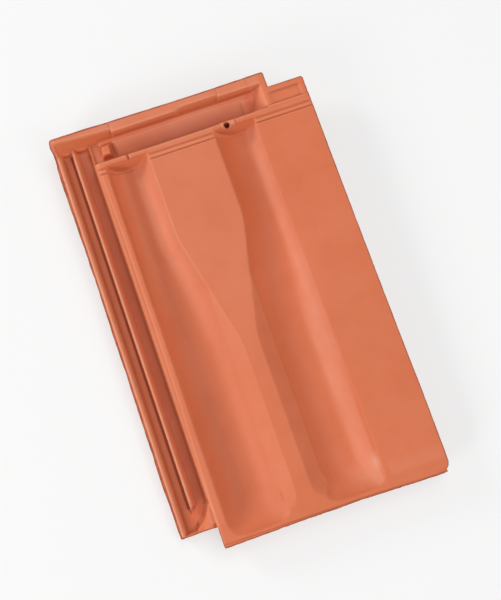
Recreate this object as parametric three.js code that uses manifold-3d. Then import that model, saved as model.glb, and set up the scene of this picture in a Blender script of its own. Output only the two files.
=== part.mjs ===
// Double-trough interlocking clay roof tile: one pressed and fired piece.
//
// Tile frame while it is being shaped (millimetres):
//   x  across the tile, 0 at the outer face of the side lock, tileWidth at the cover edge
//   y  along the tile, 0 at the foot edge (eaves end) beside the side lock, tileLength at
//      the head (ridge end)
//   z  0 on the flat of the weather face, negative down into the clay
// The finished tile is then laid on a level floor: it stands on its two hanging nibs and on
// the lowest line of its trough bellies near the foot, so it leans by a degree or two.
// Origin of the finished part: on the floor, under the middle of the tile.

import * as THREE from 'three';
import { mergeVertices } from 'three/addons/utils/BufferGeometryUtils.js';
import Module from 'manifold-3d';

// ---------------------------------------------------------------- driving dimensions (mm)

// overall
const tileWidth = 261.2;
const tileLength = 425.6;
const plateThickness = 11;        // flat parts of the body
const arris = 1.2;                // worn bevel along the outer edges
const wallDraft = 2;              // lean of the walls that rise out of the locks
const footStraight = 112;         // the foot edge is square up to here, and then swings
const footSwing = 4;              // out by this much at the cover edge
const headBow = 2.3;              // the head edge is bowed inwards by this much
const headBowPlace = 146.7;       // at this place

// side lock (left edge), from the outer face inwards
const rimWidth = 7.7;
const rimFlank = 2.6;             // plan width of a flank that faces the cover edge
const outerGroove = 5.6;          // floor width
const ribFlank = 2.5;             // plan width of the rib's steeper flank
const ribWidth = 4;               // top width
const innerGroove = 9.7;         // floor width
const lockTopDepth = 12;          // rim and rib tops below the weather face
const grooveDepth = 7;            // groove floors below the rib tops
const lockFloor = 8;              // clay under the groove floors
const lockSetback = 20.4;         // the lock stops this far short of the foot edge
const lockEndRim = 1.9;           // thin rim that closes the outer groove at its foot
const spillLength = 26;           // corner block that turns the inner groove outwards
const spillMouth = 5.4;           // its narrow end, measured from the lock's foot
const ribStop = 21.4;             // the rib ends this far from the lock's foot

// head lock (head edge), from the head end towards the foot
const headLock = 38.6;            // length of the lock
const headRimWidths = [8.2, 10.9, 8.8, 10.7];     // the rim is pressed in four lengths
const headRimLengths = [62.2, 68.5, 43];          // the last length takes the rest
const headRimTaper = 3.9;         // the first length narrows by this towards the corner
const headRimBand = 12.2;         // rim and its flank together
const cornerSlope = 16.6;         // slope at the corner, from the head end down to the lock
const cornerTop = 4.6;            // level part above that slope
const headGroove = 1.4;           // narrow groove between rim and rib
const headRibFlank = 1.2;
const headRib = 1.6;              // top width of the low rib
const headRimDepth = 1;           // rim below the weather face
const headGrooveDepth = 15.2;
const headRibDepth = 12.8;
const channelDepth = 19;
const damWidth = 19.5;            // dam between the inner groove and the channel
const damDepth = 13.2;
const nubWidth = 9;               // small raised block on the dam
const nubSetback = 9;             // from the head wall of the field
const nubRise = 2.4;
const endLand = 7.2;              // cover end of the lock
const endFlank = 8.6;             // flank that comes down from it to the channel floor
const stepLength = 14;            // the channel floor is a little higher near that flank
const stepRise = 1.6;

// cover flange (right edge): it lies over the next tile's side lock
const coverJoint = 3;             // open joint between the cover edge and the next field
const coverClearance = 1.2;       // seating clearance of its ribs in the grooves
const coverRib = 4;               // width of the inner rib
const coverRibDrop = 6;           // both ribs below the plate
const lockGap = 2.4;               // the head lock ends short of the next tile's rim
const flangeSetback = 17.6;        // its head edge, from the tile's head end
const flangeDrop = 0.8;           // its head corner lies a little below the weather face
const flangeRecess = 1.4;
const flangeBorder = 6.5;

// troughs
const stripWidth = 10.3;          // flat strip between side lock and left trough
const panelWidth = 60;            // flat panel between right trough and cover edge
const ridgeHeadWidth = 68.2;      // flat between the troughs at the head
const ridgeFootWidth = 15;        // and at the foot
const straightFoot = 177;         // the ridge runs straight from the foot edge to here,
const flareLength = 114;          // and widens over this length
const shoulderWidth = 14.4;       // at the foot a flat shoulder takes this much of the width,
const shoulderFall = 0.55;        // and falls at this slope to its crease with the bowl
const bowlFall = 1.25;            // slope of the bowl's inner flank beyond the crease
const troughHeadDepth = 15;
const troughFootDepth = 17.5;
const headLand = 5.8;             // from the field's head edge to the troughs
const troughHeadRun = 4.6;        // length of the troughs' head wall
const footLand = 5.2;             // from the foot edge to the troughs
const shoulderLand = 10.6;        // from the foot edge to the flat shoulders
const footRun = 38;               // the trough floor comes up to the foot over this length
const shoulderRun = 22;
const bowlCorner = 14;            // plan radius of the bowls' foot corners
const bellyThickness = 10.5;      // clay under the troughs

// underside
const webWidth = 12;              // solid web under the left strip
const footLipDrop = 5;            // lip under the foot edge
const footLipWidth = 9;
const headBlock = 21;             // the thick head block reaches this far under the field
const nibWidth = 30;
const nibLength = 13;
const nibDrop = 12;
const nibSetback = 34.6;          // bearing face of the nibs, from the head end
const nibInset = 58.7;            // from the side lock's outer face to the left nib
const nibPitch = 102;

// nail hole, in a raised pad above the right trough
const nailHole = 7;
const nailInset = 28.5;           // from the right trough's outer edge
const nailSetback = 3.8;          // from the field's head edge
const nailPad = 14;
const nailPadRise = 0.9;

// pressed lines near the head of the weather face
const lineSetbacks = [7.3, 12.3];
const lineWidth = 1.8;
const lineDepth = 1.1;

// ---------------------------------------------------------------- derived places

const fieldLeft = rimWidth + rimFlank + outerGroove + ribFlank + ribWidth + rimFlank
  + innerGroove + wallDraft;                                // left edge of the weather face
const fieldHead = tileLength - headLock;                    // its head edge
const grooveFloor = -lockTopDepth - grooveDepth;
const under = grooveFloor - lockFloor;                      // underside of the locks
const lipBottom = -plateThickness - footLipDrop;
const pitch = tileWidth - fieldLeft + coverJoint;           // cover width of the laid tile
const headLockEnd = pitch - lockGap;
const leftEdge = fieldLeft + stripWidth;                    // outer edges of the two troughs
const rightEdge = tileWidth - panelWidth;
const troughHead = fieldHead - headLand;
const slopeFoot = tileLength - headRimBand;                 // foot of the head rim's flank
const cut = 3;                                              // cutters clear a face by this
const bite = 6;                                             // joined blocks reach in by this

// ---------------------------------------------------------------- solids

const wasm = await Module();
wasm.setup();

function toManifold(geometry) {
  const g = geometry.clone();
  g.deleteAttribute('normal');
  g.deleteAttribute('uv');
  const merged = mergeVertices(g, 1e-4);
  return new wasm.Manifold(new wasm.Mesh({
    numProp: 3,
    vertProperties: new Float32Array(merged.attributes.position.array),
    triVerts: new Uint32Array(merged.index.array),
  }));
}

function shapeOf(points) {
  return new THREE.Shape(points.map(([a, b]) => new THREE.Vector2(a, b)));
}

function extrude(points, length, matrix) {
  const g = new THREE.ExtrudeGeometry(shapeOf(points), { depth: length, bevelEnabled: false });
  return toManifold(g.applyMatrix4(matrix));
}

// profile in x-z, drawn out along y
const alongY = (points, y0, y1) => extrude(points, y1 - y0,
  new THREE.Matrix4().set(1, 0, 0, 0, 0, 0, -1, y1, 0, 1, 0, 0, 0, 0, 0, 1));

// profile in y-z, drawn out along x
const alongX = (points, x0, x1) => extrude(points, x1 - x0,
  new THREE.Matrix4().set(0, 0, 1, x0, 1, 0, 0, 0, 0, 1, 0, 0, 0, 0, 0, 1));

// outline in x-y, drawn up along z
const upZ = (points, z0, z1) => extrude(points, z1 - z0,
  new THREE.Matrix4().makeTranslation(0, 0, z0));

// block with its four corners in x-y
const block = (x0, x1, y0, y1, z0, z1) => upZ([[x0, y0], [x1, y0], [x1, y1], [x0, y1]], z0, z1);

// closed skin through equal rings of [x, z] at rising y, or across the tile through equal
// rings of [y, z] at rising x
function loft(rings, across = false) {
  const plan = (ring) => ring.points.map(([x, z]) => new THREE.Vector2(x, z));
  const turn = THREE.ShapeUtils.area(plan(rings[0])) < 0;
  const ordered = rings.map(({ y, points }) => ({ y, points: turn ? [...points].reverse() : points }));
  const n = ordered[0].points.length, last = (ordered.length - 1) * n;
  const index = [];
  for (let r = 0; r < last; r += n) {
    for (let i = 0; i < n; i++) {
      const a = r + i, b = r + (i + 1) % n, c = a + n, d = b + n;
      index.push(a, c, b, b, c, d);
    }
  }
  for (const [a, b, c] of THREE.ShapeUtils.triangulateShape(plan(ordered[0]), [])) {
    index.push(a, b, c);
  }
  for (const [a, b, c] of THREE.ShapeUtils.triangulateShape(plan(ordered.at(-1)), [])) {
    index.push(last + a, last + c, last + b);
  }
  if (across) index.reverse();
  const g = new THREE.BufferGeometry();
  g.setAttribute('position', new THREE.Float32BufferAttribute(
    ordered.flatMap(({ y, points }) => points.flatMap(([x, z]) => (across ? [y, x, z] : [x, y, z]))), 3));
  g.setIndex(index);
  return toManifold(g);
}

// ---------------------------------------------------------------- trough form

const { lerp, clamp } = THREE.MathUtils;
const span = rightEdge - leftEdge;                          // over both troughs
const headWidth = (span - ridgeHeadWidth) / 2;
const footWidth = (span - ridgeFootWidth) / 2;
const flareBend = 0.1;                                      // rounds both ends of the flare

// 0 before the flare, 1 after it, straight in between with rounded ends
function flare(y) {
  const t = (straightFoot + flareLength - y) / flareLength, e = flareBend;
  if (t <= -e) return 0;
  if (t < e) return (t + e) ** 2 / (4 * e);
  if (t <= 1 - e) return t;
  return t < 1 + e ? 1 - (1 + e - t) ** 2 / (4 * e) : 1;
}

const troughWidth = (y) => lerp(headWidth, footWidth, flare(y));
const depthAt = (y) => lerp(troughHeadDepth, troughFootDepth, flare(y));

// 0 at the land, 1 where the floor has come down to full depth
const rise = (y, land, run) => Math.sin(clamp((y - land) / run, 0, 1) * Math.PI / 2) ** 0.8;
const headWall = (y) => clamp((troughHead - y) / troughHeadRun, 0, 1);

// how far a rounded corner draws an edge in at y
function cornerInset(y, land, radius) {
  const d = clamp(y - land, 0, radius);
  return radius - Math.sqrt(radius ** 2 - (radius - d) ** 2);
}

// crease between bowl and shoulder at y, as its distance u from the outer edge and its depth
function crease(y) {
  const u = Math.min(troughWidth(y), footWidth - shoulderWidth);
  return { u, depth: (troughWidth(y) - u) * shoulderFall };
}

// round bowl at y, as [u, depth] from its outer edge over the bottom to the crease
function bowlSection(y, steps) {
  const c = crease(y), depth = depthAt(y), middle = (c.u + c.depth / bowlFall) / 2;
  const half = (u, d) => new THREE.CubicBezierCurve(
    new THREE.Vector2(u, d), new THREE.Vector2(lerp(u, middle, 0.3), lerp(d, depth, 2 / 3)),
    new THREE.Vector2(lerp(u, middle, 0.65), depth), new THREE.Vector2(middle, depth),
  ).getPoints(steps).map((p) => [p.x, p.y]);
  return [...half(0, 0), ...half(c.u, c.depth).reverse().slice(1)];
}

const flareStations = [-0.1, 0, 0.1, 0.3, 0.5, 0.7, 0.9, 1, 1.1]
  .map((t) => straightFoot + flareLength * (1 - t)).reverse();
const shoulderEnd = straightFoot + flareLength * shoulderWidth / (footWidth - headWidth);
const runOut = (land, run) => [0, 0.02, 0.07, 0.15, 0.27, 0.42, 0.62, 1].map((t) => land + t * run);
const bowlStations = [...runOut(footLand, footRun), (footLand + footRun + straightFoot) / 2,
  ...flareStations, lerp(straightFoot + flareLength, troughHead, 0.5),
  troughHead - troughHeadRun, troughHead];

// the two troughs are mirror images: x of a point u in from the outer edge
const sides = [(u) => leftEdge + u, (u) => rightEdge - u];

const bowlHollow = (at) => loft(bowlStations.map((y) => {
  const full = Math.min(rise(y, footLand, footRun), headWall(y));
  const c = crease(y), w = c.u + Math.max(0.05, c.depth / bowlFall);
  const inset = cornerInset(y, footLand, bowlCorner);
  const section = [...bowlSection(y, 7), [w, 0]].map(([u, d]) => [lerp(inset, w - inset, u / w), d]);
  return { y, points: [
    ...section.map(([u, d]) => [at(u), 1 - full * (1 + d)]), [at(w - inset), cut], [at(inset), cut],
  ] };
}));

// flat shoulder beside the bowl, from the foot to the place where the bowl is as wide
const shoulderStations = [...runOut(shoulderLand, shoulderRun),
  ...flareStations.filter((y) => y < shoulderEnd - 1), shoulderEnd];
const shoulderHollow = (at) => loft(shoulderStations.map((y) => {
  const full = rise(y, shoulderLand, shoulderRun), c = crease(y);
  const w = troughWidth(y) - cornerInset(y, shoulderLand, bowlCorner) * 0.7;
  return { y, points: [
    [at(c.u - 1), 1 - full * (1 + c.depth + shoulderFall)], [at(w), 1 - full],
    [at(w), cut], [at(c.u - 1), cut],
  ] };
}));

// the belly carries bowl and shoulder at an even thickness
const bellyStations = [...bowlStations.slice(1, -1), shoulderEnd].sort((a, b) => a - b);
const belly = (at) => loft(bellyStations.map((y, i) => {
  const line = [...bowlSection(y, 5), [Math.max(troughWidth(y), crease(y).u + 0.1), 0]];
  const full = rise(y, footLand, footRun), t = bellyThickness, top = -plateThickness / 2;
  const outside = line.map(([u, d], k) => {
    const a = line[clamp(k - 1, 0, line.length - 3)], b = line[Math.min(line.length - 1, k + 1)];
    const slope = (b[1] - a[1]) / (b[0] - a[0]) * full, h = Math.hypot(1, slope);
    return [at(u - t * slope / h), Math.min(top - 0.5, -full * d - t / h)];
  });
  return { y: i === bellyStations.length - 1 ? troughHead : y, points: [
    ...outside, [outside.at(-1)[0], top], [outside[0][0], top],
  ] };
}));

// ---------------------------------------------------------------- body and side lock

const wallAt = (z) => fieldLeft + wallDraft * z / -grooveFloor;   // x of the leaning left wall
const grooveLeft = rimWidth + rimFlank;
const ribLeft = grooveLeft + outerGroove + ribFlank;
const innerLeft = ribLeft + ribWidth + rimFlank;

// the cover ribs stand in the next tile's grooves, clear of their walls
const coverRibLeft = pitch + grooveLeft + (outerGroove - coverRib) / 2;
const edgeRibLeft = pitch + innerLeft + coverClearance;
const coverRibBottom = -plateThickness - coverRibDrop;

// section of the cover side, from a given top round the two ribs to a given left end
const coverSection = (top, left) => [
  ...top,
  [tileWidth, coverRibBottom], [edgeRibLeft, coverRibBottom], [edgeRibLeft - 1, -plateThickness],
  [coverRibLeft + coverRib + 0.6, -plateThickness], [coverRibLeft + coverRib, coverRibBottom],
  [coverRibLeft, coverRibBottom], [coverRibLeft - 0.6, -plateThickness],
  ...left,
];

const field = alongY(coverSection([
  [wallAt(lipBottom), lipBottom],
  [fieldLeft, -arris], [fieldLeft + arris, 0],
  [tileWidth - arris, 0], [tileWidth, -arris],
], [
  [fieldLeft + webWidth, -plateThickness], [fieldLeft + webWidth - 2, lipBottom],
]), 0, fieldHead - arris);

const web = alongY([
  [fieldLeft - wallDraft, under], [fieldLeft - wallDraft, grooveFloor],
  [wallAt(-arris - 2), -arris - 2], [fieldLeft + webWidth, -arris - 2],
  [fieldLeft + webWidth - 3, under],
], lockSetback, fieldHead - arris);

const sideLock = alongY([
  [0, under + arris], [0, -lockTopDepth - arris], [arris, -lockTopDepth],
  [rimWidth, -lockTopDepth], [grooveLeft, grooveFloor],
  [grooveLeft + outerGroove, grooveFloor], [ribLeft, -lockTopDepth],
  [ribLeft + ribWidth, -lockTopDepth], [innerLeft, grooveFloor],
  [fieldLeft + 1, grooveFloor], [fieldLeft + 1, under], [arris, under],
], lockSetback, slopeFoot + 3);

// foot of the side lock: a thin end rim, and a corner block with a hollow curved side that
// turns the inner groove into the outer one
const lockEnd = alongY([
  [0, under + arris], [0, -lockTopDepth - arris], [arris, -lockTopDepth],
  [fieldLeft, -lockTopDepth], [fieldLeft, under], [arris, under],
], lockSetback, lockSetback + lockEndRim);
const spillSide = new THREE.QuadraticBezierCurve(
  new THREE.Vector2(fieldLeft - 0.8, lockSetback + spillLength),
  new THREE.Vector2(fieldLeft - 4, lockSetback + spillLength * 0.5),
  new THREE.Vector2(ribLeft + 0.8, lockSetback + spillMouth));
const spillBlock = upZ([
  [ribLeft, lockSetback], [fieldLeft, lockSetback], [fieldLeft, lockSetback + spillLength],
  ...spillSide.getPoints(6).map((p) => [p.x, p.y]),
  [ribLeft - 0.4, lockSetback + lockEndRim + 1],
], under, -lockTopDepth);
const ribEndCut = upZ([
  [grooveLeft + outerGroove - 0.4, lockSetback + lockEndRim],
  [ribLeft - 0.4, lockSetback + lockEndRim], [ribLeft - 0.4, lockSetback + lockEndRim + 1],
  ...spillSide.getPoints(6).reverse().map((p) => [p.x, p.y]),
  [innerLeft, lockSetback + ribStop + 4.4],
  [ribLeft + 1, lockSetback + ribStop],
  [grooveLeft + outerGroove - 0.4, lockSetback + ribStop - 2],
], grooveFloor, cut);

// ---------------------------------------------------------------- head lock

const ribCrest = slopeFoot - headGroove - headRibFlank;     // head edge of the low rib's top
const channelHead = ribCrest - headRib;                     // the cove starts here
const channelFoot = fieldHead + wallDraft;
const channelRun = channelHead - channelFoot;
const cove = new THREE.CubicBezierCurve(
  new THREE.Vector2(channelHead, headRibDepth),
  new THREE.Vector2(channelHead - channelRun * 0.15, headRibDepth + 4),
  new THREE.Vector2(channelHead - channelRun * 0.5, channelDepth),
  new THREE.Vector2(channelFoot + channelRun * 0.15, channelDepth));
const channelProfile = (raise) => [
  [fieldHead - wallDraft, -plateThickness + 1],
  [channelFoot, raise + 1.5 - channelDepth],
  ...cove.getPoints(7).reverse().map((p) => [p.x, Math.min(-headRibDepth, raise - p.y)]),
  [ribCrest, -headRibDepth],
  [slopeFoot - headGroove, -headGrooveDepth],
  [slopeFoot + 1, -headGrooveDepth],
  [slopeFoot + 1, under],
  [fieldHead - headBlock, under],
  [fieldHead - headBlock - bite, -plateThickness + 1],
];
const channel = alongX(channelProfile(0), fieldLeft - wallDraft, headLockEnd);
const channelRight = headLockEnd - endLand - endFlank;
const channelStep = alongX(channelProfile(stepRise), channelRight - stepLength, headLockEnd);

// leaning head wall of the weather face
const headEdge = alongX([
  [fieldHead - bite, -channelDepth], [fieldHead - bite, -arris], [fieldHead - arris, 0],
  [fieldHead, -arris], [channelFoot, -channelDepth],
], fieldLeft + arris, tileWidth - arris);

// dam between the inner groove and the channel, with its small raised block
const dam = block(fieldLeft - wallDraft, fieldLeft + damWidth, fieldHead - wallDraft, ribCrest,
  under, -damDepth);
const nub = block(fieldLeft + damWidth - nubWidth, fieldLeft + damWidth, fieldHead + nubSetback,
  ribCrest - 1, under, nubRise - damDepth);

// rim, pressed in four lengths of slightly different width, along the bowed head edge
const headEnd = (x) => tileLength - headBow * (1 - (x / headBowPlace - 1) ** 2);
const rimEnds = headRimLengths.reduce((ends, l) => [...ends, ends.at(-1) + l], [0]);
rimEnds.push(headLockEnd);
const headRims = headRimWidths.map((w, i) => loft([0, 0.25, 0.5, 0.75, 1].map((t) => {
  const x = Math.max(arris, lerp(rimEnds[i], rimEnds[i + 1], t)), end = headEnd(x);
  const inner = tileLength - w + (i ? 0 : headRimTaper * (1 - t));
  return { y: x, points: [
    [end - arris, under], [end, under + arris], [end, -headRimDepth - arris],
    [end - arris, -headRimDepth], [inner, -headRimDepth], [slopeFoot, -headGrooveDepth - 0.4],
    [slopeFoot - 2, grooveFloor - 0.4], [slopeFoot - 2, under],
  ] };
}), true));

// slope beside it, over the side lock's own rim
const corner = loft([0, arris, rimWidth - 2].map((x) => {
  const end = headEnd(x), edge = x ? 0 : arris, foot = tileLength - cornerSlope;
  return { y: x, points: [
    [foot, under + edge], [end - arris, under + edge], [end, under + arris + edge],
    [end, -headRimDepth - arris - edge], [end - arris, -headRimDepth - edge],
    [tileLength - cornerTop, -headRimDepth - edge], [foot, -lockTopDepth - edge],
  ] };
}), true);

// cover end of the channel: a flank that rises to the rim and to the flange
const flankX = (z) => channelRight + endFlank * (z + channelDepth) / (channelDepth - flangeDrop);
const rimEnd = alongY([
  [channelRight, -channelDepth], [flankX(-headRimDepth), -headRimDepth],
  [headLockEnd, -headRimDepth], [headLockEnd, under], [channelRight, under],
], fieldHead, slopeFoot + 3);

// cover flange beside the head lock, with its shallow recess
const flange = alongY(coverSection([
  [channelRight, -channelDepth], [flankX(-flangeDrop), -flangeDrop],
  [tileWidth - arris, -flangeDrop], [tileWidth, -flangeDrop - arris],
], [
  [headLockEnd, -plateThickness], [headLockEnd - 3, under], [channelRight, under],
]), fieldHead - bite, tileLength - flangeSetback);
const flangeCut = block(flankX(-flangeDrop) - 2, tileWidth - flangeBorder, channelFoot,
  tileLength - flangeSetback - flangeBorder, -flangeDrop - flangeRecess, cut);

// ---------------------------------------------------------------- underside, nail hole, lines

const footEdge = (x) => -footSwing
  * clamp((x - footStraight) / (tileWidth - footStraight), 0, 1) ** 1.6;
const swung = [0, 0.12, 0.25, 0.4, 0.55, 0.7, 0.85]
  .map((t) => lerp(footStraight, tileWidth - arris, t)).concat(tileWidth - arris, tileWidth);
const footBand = loft(swung.map((x) => {
  const edge = footEdge(x), top = x < tileWidth ? 0 : -arris;
  return { y: x, points: [
    [edge, top], [bite, top], [bite, -plateThickness], [edge, -plateThickness],
  ] };
}), true);
const footLip = loft([fieldLeft, ...swung].map((x) => {
  const edge = footEdge(x);
  return { y: x, points: [
    [edge, -plateThickness + 1], [edge + footLipWidth + 2, -plateThickness + 1],
    [edge + footLipWidth, lipBottom], [edge + 1, lipBottom], [edge, lipBottom + 1],
  ] };
}), true);
const footArris = loft([fieldLeft - cut, ...swung, tileWidth + cut].map((x) => {
  const edge = footEdge(x);
  return { y: x, points: [
    [edge - 1, cut], [edge - 1, -arris - 1], [edge, -arris - 1], [edge + arris + 0.6, 0],
    [edge + arris + 0.6, cut],
  ] };
}), true);

const nibFoot = tileLength - nibSetback;
const nib = (x) => alongX([
  [nibFoot, under + 2], [nibFoot, under - nibDrop + 1], [nibFoot + 1, under - nibDrop],
  [nibFoot + nibLength - 2, under - nibDrop], [nibFoot + nibLength + 1, under + 2],
], x, x + nibWidth);

const nailX = rightEdge - nailInset, nailY = fieldHead - nailSetback;
const pad = block(nailX - nailPad / 2, nailX + nailPad / 2, nailY - nailPad / 3, fieldHead,
  -channelDepth, nailPadRise);
const nailBore = new THREE.CylinderGeometry(nailHole / 2, nailHole / 2, 2 * (cut - under), 24);
nailBore.rotateX(Math.PI / 2);
nailBore.translate(nailX, nailY, 0);

// the pressed lines cross the flats only
const flats = [
  [fieldLeft - cut, leftEdge], [leftEdge + headWidth, rightEdge - headWidth],
  [rightEdge, tileWidth + cut],
];
const pressedLines = lineSetbacks.flatMap((s) => flats.map(([x0, x1]) => {
  const y = fieldHead - s;
  return alongX([
    [y - lineWidth / 2, 0.01], [y, -lineDepth], [y + lineWidth / 2, 0.01], [y, cut],
  ], x0, x1);
}));

// ---------------------------------------------------------------- the tile, laid on the floor

const joined = [
  web, sideLock, lockEnd, spillBlock, channel, channelStep, headEdge, dam, nub, ...headRims,
  corner, rimEnd, flange, footBand, footLip, nib(nibInset), nib(nibInset + nibPitch), pad, ...sides.map(belly),
].reduce((a, b) => a.add(b), field);
const tile = [
  ...sides.map(bowlHollow), ...sides.map(shoulderHollow), ribEndCut, flangeCut, footArris,
  toManifold(nailBore), ...pressedLines,
].reduce((a, b) => a.subtract(b), joined);

// it stands on the nibs and on the lowest line of the bellies, where the foot run starts
const bellyBottom = -troughFootDepth - bellyThickness;
const lean = Math.atan2(bellyBottom - under + nibDrop, nibFoot + 1 - footLand - footRun);

const clay = new THREE.MeshStandardMaterial({ color: 0xc9673f, roughness: 0.75, metalness: 0 });
const { vertProperties, triVerts } = tile.getMesh();
const tileGeometry = new THREE.BufferGeometry();
tileGeometry.setAttribute('position', new THREE.BufferAttribute(vertProperties, 3));
tileGeometry.setIndex(new THREE.BufferAttribute(triVerts, 1));
tileGeometry.computeVertexNormals();
const roofTile = new THREE.Mesh(tileGeometry, clay);
roofTile.name = 'roof_tile';

const laid = new THREE.Group();
laid.add(roofTile);
laid.rotation.x = lean;
const box = new THREE.Box3().setFromObject(laid, true);
laid.position.set(-(box.min.x + box.max.x) / 2, -(box.min.y + box.max.y) / 2, -box.min.z);

const part = new THREE.Group();
part.add(laid);
export default part;
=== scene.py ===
"""Visual model of a double-trough interlocking clay roof tile, dressed over its CAD frame.

The tile is one fired piece, so it is one closed mesh. Its weather face and its underside are
height fields over the tile's plan, worked out in numpy on a fine grid, softened as pressed
clay is, and sampled on mesh lines that follow the troughs. Everything is worked out in the
tile's own frame in millimetres (x across from the side lock, y from the foot, z up from the
weather face) and then laid on the floor as the CAD part is.
"""
import math

import bpy
import numpy as np
from mathutils import Matrix, Vector


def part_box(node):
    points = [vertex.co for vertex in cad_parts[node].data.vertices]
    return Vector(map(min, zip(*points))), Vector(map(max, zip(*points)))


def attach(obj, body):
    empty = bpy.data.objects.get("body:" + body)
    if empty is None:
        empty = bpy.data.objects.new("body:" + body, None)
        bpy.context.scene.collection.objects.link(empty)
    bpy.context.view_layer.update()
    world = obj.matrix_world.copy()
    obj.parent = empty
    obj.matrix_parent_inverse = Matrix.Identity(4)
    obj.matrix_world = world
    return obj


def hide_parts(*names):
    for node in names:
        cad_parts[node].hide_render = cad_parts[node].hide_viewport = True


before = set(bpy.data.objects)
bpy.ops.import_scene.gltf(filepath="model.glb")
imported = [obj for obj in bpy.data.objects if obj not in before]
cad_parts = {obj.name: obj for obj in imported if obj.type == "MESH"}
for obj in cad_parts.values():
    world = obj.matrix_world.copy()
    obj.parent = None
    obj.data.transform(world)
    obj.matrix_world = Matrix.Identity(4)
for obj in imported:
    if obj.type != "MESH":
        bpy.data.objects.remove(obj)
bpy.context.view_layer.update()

# ------------------------------------------------------------------ sizes (mm)

SIDE, COVER, TILE_L = -0.7, 260.5, 425.6        # the side lock's and the flange's outer faces; length
PLATE = 11.0
FIELD_LEFT, FIELD_HEAD = 36.0, 387.3            # edges of the weather face
LOCK_TOP, GROOVE_FLOOR, UNDER = -12.0, -19.0, -27.0
LOCK_SETBACK = 20.4                             # the side lock stops this far short of the foot
CHANNEL_FLOOR, HEAD_RIB_TOP, CHANNEL_HEAD = -19.5, -12.85, 407.4
HEAD_LOCK_END = 224.0
FLANGE_LEFT, FLANGE_HEAD = 217.4, 408.0
LEFT_EDGE, RIGHT_EDGE = 46.3, 200.5             # outer edges of the two troughs
HEAD_WIDTH, FOOT_WIDTH = 43.0, 69.6
SHOULDER, SHOULDER_SLOPE = 14.4, 0.5
BOWL_DEPTH, BOWL_GAIN = 17.0, 0.3               # at the head, and what the wide foot adds
STRAIGHT_FOOT, FLARE = 177.0, 114.0
NAIL_X, NAIL_Y, NAIL_R = 172.0, 383.2, (3.2, 2.9)
NIB_FOOT, NIB_DEPTH, NIB_WIDTH, NIB_LENGTH = 391.0, 12.0, 30.6, 14.0
NIB_LEFTS = (58.0, 160.0)
BELLY_BOTTOM, BELLY_FOOT = -28.0, 43.2
NIB_BOTTOM = UNDER - NIB_DEPTH
NIB_BEVEL, HEAD_BEVEL = 1.0, 1.2                # of the CAD's nibs and of its head edge underneath
LEAN = math.atan2(BELLY_BOTTOM - NIB_BOTTOM, NIB_FOOT + NIB_BEVEL - BELLY_FOOT)
COS, SIN = math.cos(LEAN), math.sin(LEAN)

# ------------------------------------------------------------------ profiles (mm)

# side lock, across: rim, outer groove, its slot, rib, inner groove
LOCK_PROFILE = (
    (-4, -14.8), (-0.7, -14.4), (0.7, -13.8), (2.3, -13.4), (3.1, -12.4), (3.9, -11.9), (4.7, -12.1),
    (6.0, -13.0), (7.4, -15.0), (8.9, -18.5), (9.6, -19.0),
    (14.2, -19.4), (15.2, -20.8), (15.9, -24.6), (17.0, -24.8), (17.6, -24.0),
    (18.0, -13.2), (18.6, -12.2), (19.4, -11.95), (20.5, -12.4), (21.6, -13.8),
    (23.4, -18.4), (24.2, -19.3), (26.5, -19.6), (31.0, -21.4), (33.2, -22.4), (35.0, -22.2))
# head lock, along: coved channel and low rib
CHANNEL_PROFILE = (
    (388.2, -19.8), (391, -19.4), (394, -18.8), (397.5, -17.8), (401, -16.4), (404, -14.8),
    (406.3, -13.5), (407.5, -12.85), (413, -12.85))
# coved end of the channel, across, up to the flange
END_FLANK = (
    (198.0, -19.5), (203.0, -17.4), (207.0, -14.2), (211.0, -9.3), (214.0, -5.2), (216.0, -3.0),
    (217.4, -2.0))
# height of the ridge that climbs from the side rim to the head rim, along
CORNER_CREST = ((404, -11.9), (409, -11.6), (413, -8.6), (418, -3.6), (422, -1.0), (430, -1.0))
# share of a trough's depth near its head: a steep wall with a small ledge at its foot
HEAD_WALL = (
    (374.2, 1.1), (374.6, 1.0), (375.5, 0.955), (376.3, 0.935), (376.9, 0.88), (381.5, 0.0))
# head edge of the weather face left of the flange, across
FIELD_EDGE = ((36, 387.0), (40, 386.9), (98, 386.5), (148, 386.5), (205, 387.3), (217, 387.3))
# inner top edge of the head rim's first pressed length, across
FIRST_RIM_LENGTH = ((0, 421.2), (11, 420.6), (36, 418.4), (62, 417.1))
SECOND_RIM_EDGE, THIRD_RIM_EDGE, LAST_RIM_EDGE = 413.5, 416.2, 413.7
RIM_WALL_FOOT = ((0, 409.8), (36, 410.6), (60, 410.9), (64, 411.0))
# right edge of the low ledge on the face beside the side lock, along
LEDGE_EDGE = (
    (20, 37.6), (60, 38.6), (150, 40.5), (230, 40.9), (310, 40.7), (370, 39.4), (386, 39.0))
# how far the pressed lines bow towards the head, across
LINE_BOW = ((36, 0.4), (42, 0.35), (98, 0), (148, 0), (205, 0.85), (217, 0.9))
# the spill block's curved edge: its two ends and the point between that it bends towards
SPILL_CURVE = np.array(((35.2, 46.7), (31.5, 34.0), (18.3, 25.6)))
PRESSED_LINES = ((379.7, 1.2, 1.35), (374.6, 1.7, 0.62))        # place, depth, half width
NICK_X = 70.0
RIM_JOINTS = (62.0, 173.2)                      # where the head rim's pressed lengths meet

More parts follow.
